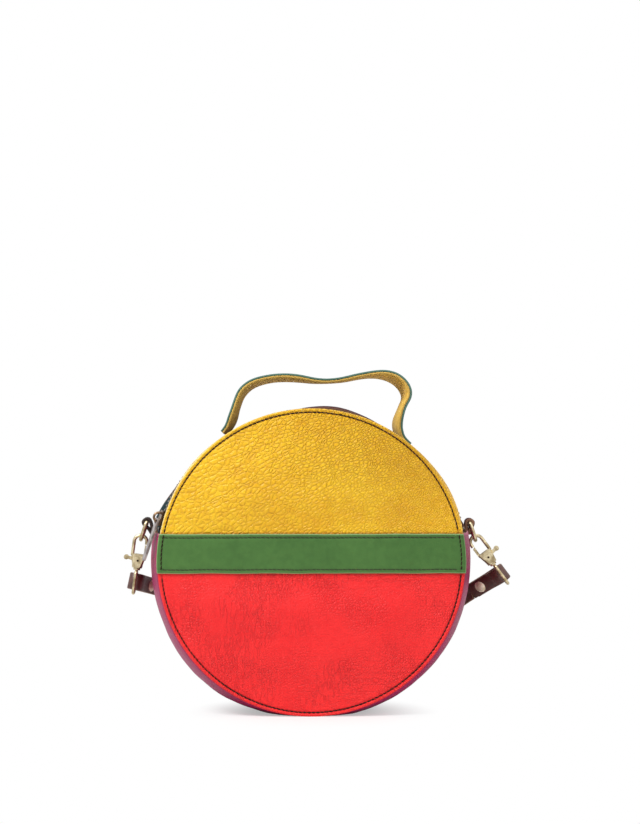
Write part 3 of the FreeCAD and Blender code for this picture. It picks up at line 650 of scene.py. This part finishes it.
for label, share, edge, inward in (("top", 1, bandTop, -1), ("bottom", 0, bandBottom, 1)):
    height = edge + inward * band["stitchInset"]
    reach = math.sqrt(bagRadius ** 2 - (height - bagMiddle) ** 2) - band["rowEnd"]
    row = [Vector((mixed(-reach, reach, number / band["rowSteps"]), 0, height))
           for number in range(band["rowSteps"] + 1)]
    for spot in row:
        spot.y = frontY - bagShape["bandLeather"] - bandLift(spot.x, band["stitchInset"])
        spot.z += bandWave(spot.x, share)
    outs = [-acrossBag] * len(row)
    onBody(stitchRow("band_stitches_" + label, row, outs, {**threadRow, "thread": band["thread"]}, bandThread), None)


# stitching round the rims
rimSteps = 240
rimRadius = bagRadius - seamStitch


def rimLine(low, high, face, onBand):
    line = []
    for number in range(rimSteps + 1):
        angle = mixed(low, high, number / rimSteps)
        x, z = rimRadius * math.sin(angle), bagMiddle + rimRadius * math.cos(angle)
        proud = bagShape["bandLeather"] - 0.3 if onBand else panelLift(x, z, face < 0)
        line.append(Vector((x, face * (bagShape["depth"] / 2 + proud), z)))
    return line


bandHigh = angleAt(bandTop, rimRadius)
bandLow = angleAt(bandBottom, rimRadius)
outFront, outBack = [-acrossBag] * (rimSteps + 1), [acrossBag] * (rimSteps + 1)
upperEnd, lowerEnd = bandHigh - band["panelGap"], bandLow + band["panelGap"]
onFlap(stitchRow("rim_stitches_upper", rimLine(-upperEnd, upperEnd, -1, False), outFront), None)
lowerLine = rimLine(lowerEnd, 2 * math.pi - lowerEnd, -1, False)
onBody(stitchRow("rim_stitches_lower", lowerLine, outFront), None)
for label, sign in (("right", 1), ("left", -1)):
    line = rimLine(sign * (bandHigh + band["endGap"]), sign * (bandLow - band["endGap"]), -1, True)
    onBody(stitchRow("band_end_stitches_" + label, line, outFront), None)
onBody(stitchRow("back_rim_stitches", rimLine(0, 2 * math.pi, 1, False), outBack), None)
print("band and stitching made")


# side wall in its sewn strips, each a slab of points with the share of cut edge at each point
wallCut = {
    "rows": 240, "stripRows": 200, "tapeRows": 160, "pitch": 1.7, "turn": 1.9, "seat": 0.08, "cutEdge": 0.7,
    "flange": [(94.0, 94.0, 0.0), (98.8, 97.6, 0.0), (99.7, 98.1, 0.4)],   # outer and inner radius, and step
    "seamFoot": 94.0, "seamEdge": 99.6, "seamRows": 160, "seamParts": 4,
}


def wallShape(profile, ends, sway, floor, rows, middle):
    front, back, raw = [], [], []
    for row in range(rows + 1):
        share = row / rows
        frontRow, backRow = [], []
        for y, outer, inner, cut in profile:
            low, high = ends(outer)
            angle = mixed(low, high, share)
            extra = sway(angle, y)
            side, up = math.sin(angle), math.cos(angle)
            frontRow.append(((outer + extra) * side, y, max(0.0, middle + (outer + extra) * up)))
            backRow.append(((inner + extra) * side, cut[0], max(floor, middle + (inner + extra) * up)))
            fromEnd = min(share, 1 - share) * abs(high - low) * outer
            raw.append(max(cut[1], 1 - smooth(0.1, 0.8, fromEnd)))
        front.append(frontRow)
        back.append(backRow)
    points, faces = slab(front, back)
    return points, faces, raw + [0.6] * len(raw)


# leather turned out at an upper seam, up to the panel's edge
def seamShape(face, ends):
    front, back, raw = [], [], []
    for row in range(wallCut["seamRows"] + 1):
        frontRow, backRow = [], []
        for part in range(wallCut["seamParts"] + 1):
            share = part / wallCut["seamParts"]
            low, high = ends(mixed(wallCut["seamFoot"], wallCut["seamEdge"], share))
            angle = mixed(low, high, row / wallCut["seamRows"])
            side, up = math.sin(angle), math.cos(angle)
            edge = bagShape["upperDrop"] * up
            edge += math.sqrt(wallCut["seamEdge"] ** 2 - (bagShape["upperDrop"] * side) ** 2)
            radius = mixed(wallCut["seamFoot"], edge, share)
            frontRow.append((radius * side, face * (seatY - wallCut["seat"]), upperMiddle + radius * up))
            backRow.append((radius * side, face * (seatY - wallLeather), upperMiddle + radius * up))
            raw.append(1.0 if part == wallCut["seamParts"] else 0.0)
        front.append(frontRow)
        back.append(backRow)
    points, faces = slab(front, back)
    return points, faces, raw * 2


def wallPiece(name, material, *shapes):
    points, faces, raw = [], [], []
    for shape in shapes:
        base = len(points)
        points += shape[0]
        faces += [tuple(base + corner for corner in face) for face in shape[1]]
        raw += shape[2]
    return makePiece(name, points, faces, material, {"raw": raw})


# rows of y, outer radius, inner radius, and (inner y, cut edge)
def wallProfile(low, high, flanged=False):
    count = max(4, int((high - low) / wallCut["pitch"]))
    profile = []
    for number in range(count + 1):
        y = mixed(low, high, number / count)
        cut = wallCut["cutEdge"] if number in (0, count) and not flanged else 0.0
        profile.append((y, wallRadius(y), wallRadius(y) - wallLeather, (y, cut)))
    if flanged:                           # turned in under both panels
        for outer, inner, step in reversed(wallCut["flange"]):
            y = seatY - step - wallCut["seat"]
            profile.insert(0, (-y, outer, inner, (wallLeather - seatY, 0.0)))
            profile.append((y, outer, inner, (seatY - wallLeather, 0.0)))
    return profile


def gussetSway(angle, y):
    fromTop = math.degrees(min(angle, 2 * math.pi - angle))
    belly = 1 - (y / seatY) ** 2
    free = smooth(104, 122, fromTop)
    ripple = 0.9 * waver(angle * 3.1, y / 24, 41.0)
    ripple += 0.4 * waver(angle * 9, y / 11, 43.0)
    sag = 1.5 * bell(fromTop, 132, 20)
    return belly * (free * ripple + sag) - 0.1


stripSag = {"deep": 3.0, "hump": 4.3, "humpAt": 10.0, "humpWide": 17.0, "bow": 5.0, "bowAt": -72.0, "bowWide": 10.0}


# leather behind the zip, which hangs lower than its seams but for a hump right of the top, and bows out at the left
def stripSway(angle, y):
    turn = math.degrees(angle)
    sag = stripSag["deep"] - stripSag["hump"] * bell(turn, stripSag["humpAt"], stripSag["humpWide"])
    sag += 0.5 * waver(angle * 5, y / 15, 47.0)
    bow = stripSag["bow"] * bell(turn, stripSag["bowAt"], stripSag["bowWide"])
    bow *= smooth(-20.5, -16.5, y) * min(1.0, max(0.0, (1.5 - y) / 18)) ** 1.3 * smooth(77.5, 73, abs(turn))
    return bow - sag * smooth(32, 12, y) * smooth(-21.5, -8, y) * smooth(77, 69, abs(turn))


def lowerEnds(radius):
    end = angleAt(bandTop, radius)
    return end, 2 * math.pi - end


def upperEnds(radius):
    end = angleAt(bandTop, radius, upperMiddle)
    return -end, end


def flapEnds(radius):
    end = angleAt(bandTop + bagShape["flapGap"], radius, upperMiddle)
    return -end, end


def noSway(angle, y):
    return 0.0


turnIn = seatY - wallCut["turn"]
lowerShape = wallShape(wallProfile(-turnIn, turnIn, True), lowerEnds, gussetSway, wallLeather, wallCut["rows"],
                       bagMiddle)
onBody(wallPiece("plum_gusset", plumLeather, lowerShape), "plum_leather", "lower_gusset")
seamSeat = seatY - wallLeather
stripEnd = {"back": -13.0, "front": -30.0}
backShape = wallShape(wallProfile(stripEnd["back"], seamSeat), upperEnds, stripSway, 0.0, wallCut["stripRows"],
                      upperMiddle)
backStrip = wallPiece("maroon_back_strip", maroonLeather, backShape, seamShape(1, upperEnds))
onBody(backStrip, "maroon_leather", "zip_back_strip")
frontShape = wallShape(wallProfile(-seamSeat, stripEnd["front"]), flapEnds, noSway, 0.0, wallCut["stripRows"],
                       upperMiddle)
frontStrip = wallPiece("maroon_front_strip", maroonLeather, frontShape, seamShape(-1, flapEnds))
onFlap(frontStrip, "maroon_leather", "zip_front_strip")


zipTape = {"inset": 1.7, "cloth": 0.7, "front": (-30.5, -27.4), "back": (-22.6, -9.4), "across": 16}


def tapeShape(low, high, ends, sway):
    rows = []
    for number in range(zipTape["across"] + 1):
        y = mixed(low, high, number / zipTape["across"])
        radius = wallRadius(y, zipTape["inset"])
        rows.append((y, radius, radius - zipTape["cloth"], (y, 0.0)))
    return wallShape(rows, ends, sway, 0.0, wallCut["tapeRows"], upperMiddle)


frontTape = wallPiece("zip_tape_front_cloth", tapeCloth, tapeShape(*zipTape["front"], flapEnds, noSway))
onFlap(frontTape, "zip_tape", "zip_tape_front")
backTape = wallPiece("zip_tape_back_cloth", tapeCloth, tapeShape(*zipTape["back"], upperEnds, stripSway))
onBody(backTape, "zip_tape", "zip_tape_back")
print("side wall and tapes made")


# strap: from its left sewn end, down behind the bag, round the coil and up to the right end
strap = {
    "width": 11.0, "leather": 2.0, "edge": 0.45,
    "leftRoute": [(-104.89, 38.81, 78.2), (-99.16, 50.18, 75.57), (-91.3, 62, 67.2), (-81, 74, 54.5), (-69.5, 87, 39.5),
                  (-54, 100, 24.5), (-37, 110.5, 12.2), (-19.8, 117, 5.5)],
    "rightRoute": [(109.53, 32.15, 75.49), (101.58, 40.51, 69.5), (90.8, 47.5, 58.7), (76.5, 52, 43.8),
                   (58.5, 53, 27.2), (38.5, 50.5, 13), (19.8, 47, 5.5)],
    "coilMiddle": (0.0, 82.0, 5.5), "coilStart": 9.7, "coilSpacing": 4.6, "coilTurn": 990, "perTurn": 24,
    "heart": [(9.4, -4.4), (5.0, -6.4), (1.0, -4.0), (-1.0, 4.0), (-5.0, 6.4), (-9.4, 4.4)],
    "length": 1.1014,
}
centre = Vector(strap["coilMiddle"])
spiral = []
for number in range(int(strap["coilTurn"] * strap["perTurn"] / 360) + 1):
    angle = 2 * math.pi * number / strap["perTurn"]
    radius = strap["coilStart"] + strap["coilSpacing"] * angle / math.pi
    spiral.append(Vector((radius * math.cos(angle), radius * math.sin(angle), 0)))
route = [Vector(point) for point in strap["leftRoute"]]
route += [centre - spot for spot in reversed(spiral)]
route += [centre + Vector((-x, -y, 0)) for x, y in strap["heart"]]
route += [centre + spot for spot in spiral]
route += [Vector(point) for point in reversed(strap["rightRoute"])]
strapLine = smoothLine(route, 6)
strapAxes = []
for ahead in headings(strapLine):
    side = upright.cross(ahead).normalized()
    strapAxes.append((side, ahead.cross(side)))
section = stripSection(-strap["leather"] / 2, strap["leather"] / 2, strap["width"], strap["edge"])
points, faces = sweep(strapLine, strapAxes, section)
strapPiece = makePiece("shoulder_strap", points, faces, strapLeather, {"raw": sectionRaw * len(strapLine)})
onBody(strapPiece, "strap_leather", "strap_run_left", "strap_run_right", "strap_coil")

clips = {
    "left": {"side": -1, "lean": 8.0, "turn": 62.0, "droop": 8.0, "origin": (-114.616, 8.0, 102.886)},
    "right": {"side": 1, "lean": 37.0, "turn": 40.0, "droop": 0.0, "origin": (116.031, 8.0, 104.055)},
}
strapFold = {
    "arm": 4.0, "height": -18.9,
    "line": [(30, 1.05), (21, 1.05), (13.5, 1.1), (8.0, 1.9), (3.4, 3.4), (-2.0, 3.7), (-4.0, 0), (-2.0, -3.7),
             (3.4, -3.4), (8.0, -1.9), (13.5, -1.1), (20, -1.05), (25, -1.05)],
}


def clipAxes(clip):                       # across the hook, away from the bag, and up its stem
    lean, side = math.radians(clip["lean"]), clip["side"]
    return Vector((side * math.cos(lean), 0, math.sin(lean))), Vector((-side * math.sin(lean), 0, math.cos(lean)))


for label, clip in clips.items():
    outward, stem = clipAxes(clip)
    run = math.radians(clip["turn"])
    level = acrossBag * math.sin(run) - outward * math.cos(run)
    aside = outward * math.sin(run) + acrossBag * math.cos(run)
    droop = math.radians(clip["droop"])
    heading = level * math.cos(droop) - stem * math.sin(droop)
    rise = stem * math.cos(droop) + level * math.sin(droop)
    arm = Vector(clip["origin"]) + acrossBag * strapFold["arm"] + stem * strapFold["height"]
    line = smoothLine([arm + heading * along + aside * over for along, over in strapFold["line"]], 8)
    axes = [(ahead.cross(rise).normalized(), rise) for ahead in headings(line)]
    points, faces = sweep(line, axes, section)
    piece = makePiece("strap_fold_" + label, points, faces, strapLeather, {"raw": sectionRaw * len(line)})
    onBody(piece, "strap_leather", "strap_end_" + label)
print("strap made")


# top handle, two layers sewn together
handle = {
    "width": 18.0, "leather": 1.4, "gap": 0.05, "depth": 9.0, "lean": 13.0, "hinge": 195.0, "edge": 0.3,
    "foldStart": (0, 0.009, 0.188), "foldEnd": (0, 0.009, 0.203),
    "line": [(-58.2, 183.4), (-56.8, 184.8), (-54, 188.2), (-51.4, 195), (-49.2, 203.5), (-45.8, 212), (-36.5, 219),
             (-16, 222.2), (12, 217.4), (42, 224.6), (58, 221.4), (66, 210), (60.4, 199.4), (57.4, 189), (59.6, 181.2),
             (63, 177.4), (65.6, 175.2)],
    "twists": [((63, 207), 13.0, -12.0), ((56, 219), 12.0, -4.0), ((38, 222), 14.0, 6.0), ((12, 217), 18.0, 11.0),
               ((-25, 221), 20.0, 3.0), ((-47.5, 207), 12.0, -6.0), ((-52, 192), 9.0, -7.0), ((57, 189), 10.0, -8.0)],
}
flat = smoothLine([(x, 0, z) for x, z in handle["line"]], 10)
slant = math.radians(handle["lean"])
handleLine, handleAxes = [], []
for spot, ahead in zip(flat, headings(flat)):
    lift = max(0.0, spot.z - handle["hinge"])
    placed = Vector((spot.x, handle["depth"] + lift * math.sin(slant),
                     min(spot.z, handle["hinge"]) + lift * math.cos(slant)))
    free = smooth(186, 202, spot.z)
    slope = mixed(math.asin(handle["depth"] / crownRadius), slant, free)
    ahead = Vector((ahead.x, ahead.z * math.sin(slant) * free, ahead.z)).normalized()
    radial = Vector((spot.x, 0, spot.z - upperMiddle)).normalized()
    across = acrossBag * math.cos(slope) - mixed(radial, upright, free).normalized() * math.sin(slope)
    across = (across - ahead * across.dot(ahead)).normalized()
    twist = sum(size * bell(math.hypot(spot.x - at[0], spot.z - at[1]), 0, reach)
                for at, reach, size in handle["twists"])
    across = Matrix.Rotation(math.radians(twist), 3, ahead) @ across
    handleLine.append(placed)
    handleAxes.append((across.cross(ahead).normalized(), across))
for label, material, slot, low, high, replaced in (
        ("handle_teal_layer", tealLeather, "teal_leather", handle["gap"], handle["leather"],
         ("handle_outer", "handle_end_left", "handle_end_right")),
        ("handle_yellow_layer", suedeYellow, "yellow_leather", -handle["leather"], -handle["gap"],
         ("handle_inner", "handle_root_left", "handle_root_right"))):
    points, faces = sweep(handleLine, handleAxes, stripSection(-high, -low, handle["width"], handle["edge"]))
    piece = makePiece(label, points, faces, material, {"raw": sectionRaw * len(handleLine)})
    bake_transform(piece)
    standFor(piece, slot, *replaced)
print("handle made")


# tabs that hold the rings
tabs = {
    "left": {"side": -1, "standoff": 6.2, "material": blackLeather, "slot": "black_leather"},
    "right": {"side": 1, "standoff": 3.1, "material": maroonLeather, "slot": "maroon_leather"},
}
tabCut = {
    "angle": 77.5, "depth": 8.0, "width": 9.0, "leather": 1.9, "tail": 7.0, "edge": 0.3,
    "path": [(0, 0, 0.4), (0.45, 0, 1.0), (1, -1.6, 2.35), (1, 1.4, 2.35), (1, 2.4675, 0), (1, 1.4, -2.35),
             (1, -1.6, -2.35), (0.45, 0, -0.6), (0, 0, -1.0)],      # share of the way to the bar, further, and out
}
tabSection = stripSection(-tabCut["leather"] / 2, tabCut["leather"] / 2, tabCut["width"], tabCut["edge"])
for label, tab in tabs.items():
    turn = math.radians(tabCut["angle"])
    radial = Vector((tab["side"] * math.sin(turn), 0, math.cos(turn)))
    surface = Vector((0, tabCut["depth"], bagMiddle)) + radial * wallRadius(tabCut["depth"])
    bar = surface + radial * tab["standoff"]
    downWall = radial.cross(acrossBag) * -tab["side"]
    foot = surface + downWall * tabCut["tail"]
    rise = (bar - foot).normalized()
    out = rise.cross(acrossBag) * tab["side"]
    line = smoothLine([mixed(foot, bar, share) + rise * further + out * over
                       for share, further, over in tabCut["path"]], 8)
    axes = [(ahead.cross(acrossBag).normalized(), acrossBag) for ahead in headings(line)]
    points, faces = sweep(line, axes, tabSection)
    piece = makePiece("ring_tab_" + label, points, faces, tab["material"], {"raw": sectionRaw * len(line)})
    onBody(piece, tab["slot"], "side_tab_" + label)
print("tabs made")


# lining
lining = {"radius": 98.6, "seat": 31.4, "cloth": 0.6, "floor": 1.9, "inset": 1.8, "steps": 60, "wallHalf": 30.5,
          "wallSteps": 20, "wallRows": 120, "wallFlat": (0.0615, 0.365)}


# how far a point lies inside the lining's edge, which drops with the upper wall
def liningInside(x, z):
    inside = lining["radius"] - math.hypot(x, z - bagMiddle)
    if z > bandTop:
        inside = min(inside, lining["radius"] - math.hypot(x, z - upperMiddle))
    return inside


def liningDisc(name, low, high, face):
    front, back = [], []
    for row in range(lining["steps"] + 1):
        z = mixed(low, high, 0.5 - 0.5 * math.cos(math.pi * row / lining["steps"]))
        middle = upperMiddle if z > bandTop else bagMiddle
        reach = math.sqrt(max(1.0, lining["radius"] ** 2 - (z - middle) ** 2))
        frontRow, backRow = [], []
        for column in range(lining["steps"] + 1):
            x = reach * (2 * column / lining["steps"] - 1)
            rim = smooth(0, 20, liningInside(x, z))
            loose = rim * (0.8 + 0.8 * waver(x / 30, z / 26, 51.0))
            frontRow.append((x, face * (lining["seat"] - loose), z))
            backRow.append((x, face * (lining["seat"] - lining["cloth"] - loose), z))
        front.append(frontRow)
        back.append(backRow)
    points, faces = slab(front, back)
    return makePiece(name, points, faces, liningCloth)


def declareLining(piece, width, height):
    area = sum(face.area for face in piece.data.polygons) / 2
    min(area, width * height)


liningTop = upperMiddle + lining["radius"] - 0.02
liningParts = {
    "lining_front_upper": ("lining_upper_cloth", bandTop + bagShape["flapGap"], liningTop, -1, 0.192, 0.076),
    "lining_front_lower": ("lining_lower_cloth", lining["floor"], bandTop - 0.1, -1, 0.198, 0.118),
    "lining_back": ("lining_back_cloth", lining["floor"], liningTop, 1, 0.198, 0.193),
}
for node, (label, low, high, face, width, height) in liningParts.items():
    piece = liningDisc(label, low, high, face)
    declareLining(piece, width, height)
    if node == "lining_front_upper":
        onFlap(piece, "lining", node)
    else:
        onBody(piece, "lining", node)


def liningWall(number):
    y = mixed(-lining["wallHalf"], lining["wallHalf"], number / lining["wallSteps"])
    radius = wallRadius(y, lining["inset"])
    return (y, radius, radius - lining["cloth"], (y, 0.0))


liningShape = wallShape([liningWall(number) for number in range(lining["wallSteps"] + 1)], lowerEnds, noSway,
                        lining["inset"] + lining["cloth"], lining["wallRows"], bagMiddle)
wallLining = wallPiece("lining_wall_cloth", liningCloth, liningShape)
for corner in wallLining.data.vertices:                  # the cloth lies on the leather's floor
    corner.co.z = max(corner.co.z, lining["inset"] * mm)
declareLining(wallLining, *lining["wallFlat"])
onBody(wallLining, "lining", "lining_gusset")
print("lining made")


# leaf springs
leaf = {"near": 2.25, "post": 2.55, "far": 2.85, "low": -7.6, "web": -7.3, "tip": -5.4, "half": 0.95, "rows": 10}


def springPoint(clip, out, up, over=0.0):
    outward, stem = clipAxes(clip)
    return Vector(clip["origin"]) + outward * out + stem * up + acrossBag * over


for label, clip in clips.items():
    outer, inner = [(leaf["near"], leaf["low"])], [(leaf["near"], leaf["web"])]
    for row in range(leaf["rows"] + 1):
        share = row / leaf["rows"]
        outer.append((leaf["far"], mixed(leaf["low"], leaf["tip"], share)))
        inner.append((leaf["post"], mixed(leaf["web"], leaf["tip"], share)))
    grids = [[[springPoint(clip, *spot, over) for over in (-leaf["half"], leaf["half"])] for spot in line]
             for line in (outer, inner)]
    piece = makePiece("leaf_spring_" + label, *slab(*grids), springSteel)
    ends = [tuple(springPoint(clip, leaf["post"], up) * mm) for up in (leaf["web"], leaf["tip"])]
    "hook_" + label
    "gate_" + label
    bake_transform(piece)
    standFor(piece, "spring_steel", "gate_spring_" + label)
print("springs made")


# metal that keeps its solid
metalNodes = {
    "zip_teeth_front": zipMetal, "zip_teeth_back": zipMetal, "zip_end_stops": zipMetal, "zip_slider": agedBrass,
    "zip_pull": silverGrey,
}
for label in clips:
    for node in ("d_ring_", "hook_body_", "gate_lever_", "swivel_eye_"):
        metalNodes[node + label] = lightBrass
    metalNodes["strap_rivet_" + label] = rivetBrass
    metalNodes["gate_pin_" + label] = darkPin
for node, material in metalNodes.items():
    nodes[node].data.materials.clear()
    nodes[node].data.materials.append(material)
print("metal finished")


# floor, light and camera
stage = {
    "floor": 6.0, "floorShade": (0.92, 0.92, 0.92, 1), "lift": 0.42, "world": 0.28, "fade": (0.03, 0.088),
    "shadowMiddle": (0, -0.015, 0), "aim": (0, 0, 0.1),
    "lamps": [("key_light", 35.0, 0.7, (-0.9, -0.9, 1.7)), ("fill_light", 7.0, 1.2, (1.5, -1.3, 0.8)),
              ("top_light", 8.0, 1.4, (0.0, 0.1, 2.0))],      # watts, width and place
}
mesh = bpy.data.meshes.new("studio_floor")
half = stage["floor"] / 2
mesh.from_pydata([(-half, -half, 0), (half, -half, 0), (half, half, 0), (-half, half, 0)], [], [(0, 1, 2, 3)])
floor = bpy.data.objects.new("studio_floor", mesh)
bpy.context.scene.collection.objects.link(floor)
floorFinish, shader, place = newFinish("studio_floor")
shader.inputs["Base Color"].default_value = stage["floorShade"]
shader.inputs["Roughness"].default_value = 1.0
shader.inputs["Specular IOR Level"].default_value = 0.0
tree = floorFinish.node_tree
rays = tree.nodes.new("ShaderNodeLightPath")
seen = Sock(tree, rays.outputs["Is Camera Ray"])
white = seen.add("Emission", {}, {"Color": (1, 1, 1, 1), "Strength": 1.0})
away = place.add("VectorMath", {"operation": "DISTANCE"}, {0: place, 1: stage["shadowMiddle"]}, "Value")
paper = (stage["lift"] + away.within(*stage["fade"]) * (1 - stage["lift"])) * seen
total = paper.add("MixShader", {}, {0: paper, 1: Sock(tree, shader.outputs[0]), 2: white})
total.feed(tree.nodes["Material Output"].inputs["Surface"])
mesh.materials.append(floorFinish)

world = bpy.data.worlds.new("studio")
bpy.context.scene.world = world
world.use_nodes = True
tree = world.node_tree
backdrop = tree.nodes["Background"]
rays = tree.nodes.new("ShaderNodeLightPath")
clear = [Sock(tree, rays.outputs[name]) for name in ("Is Camera Ray", "Is Glossy Ray", "Is Transmission Ray")]
plain = (clear[0] + clear[1] + clear[2]).within(0.0, 1.0)
(stage["world"] + plain * (1 - stage["world"])).feed(backdrop.inputs["Strength"])
backdrop.inputs["Color"].default_value = (1, 1, 1, 1)

for name, power, size, spot in stage["lamps"]:
    lamp = bpy.data.lights.new(name, "AREA")
    lamp.energy = power
    lamp.shape = "SQUARE"
    lamp.size = size
    holder = bpy.data.objects.new(name, lamp)
    holder.location = spot
    holder.rotation_euler = (Vector(stage["aim"]) - Vector(spot)).to_track_quat("-Z", "Y").to_euler()
    bpy.context.scene.collection.objects.link(holder)

view = {"aim": (0.0055, -0.035, 0.1976), "distance": 1.41, "yaw": -1.0, "lens": 95.0, "sensor": 36.0}
yaw = math.radians(view["yaw"])
away = Vector((math.sin(yaw), -math.cos(yaw), 0))
camera = bpy.data.objects.new("camera", bpy.data.cameras.new("camera"))
camera.data.lens = view["lens"]
camera.data.sensor_width = view["sensor"]
camera.location = Vector(view["aim"]) + away * view["distance"]
camera.rotation_euler = (-away).to_track_quat("-Z", "Y").to_euler()
bpy.context.scene.collection.objects.link(camera)
bpy.context.scene.camera = camera
bpy.context.scene.view_settings.view_transform = "Standard"
print("stage made")
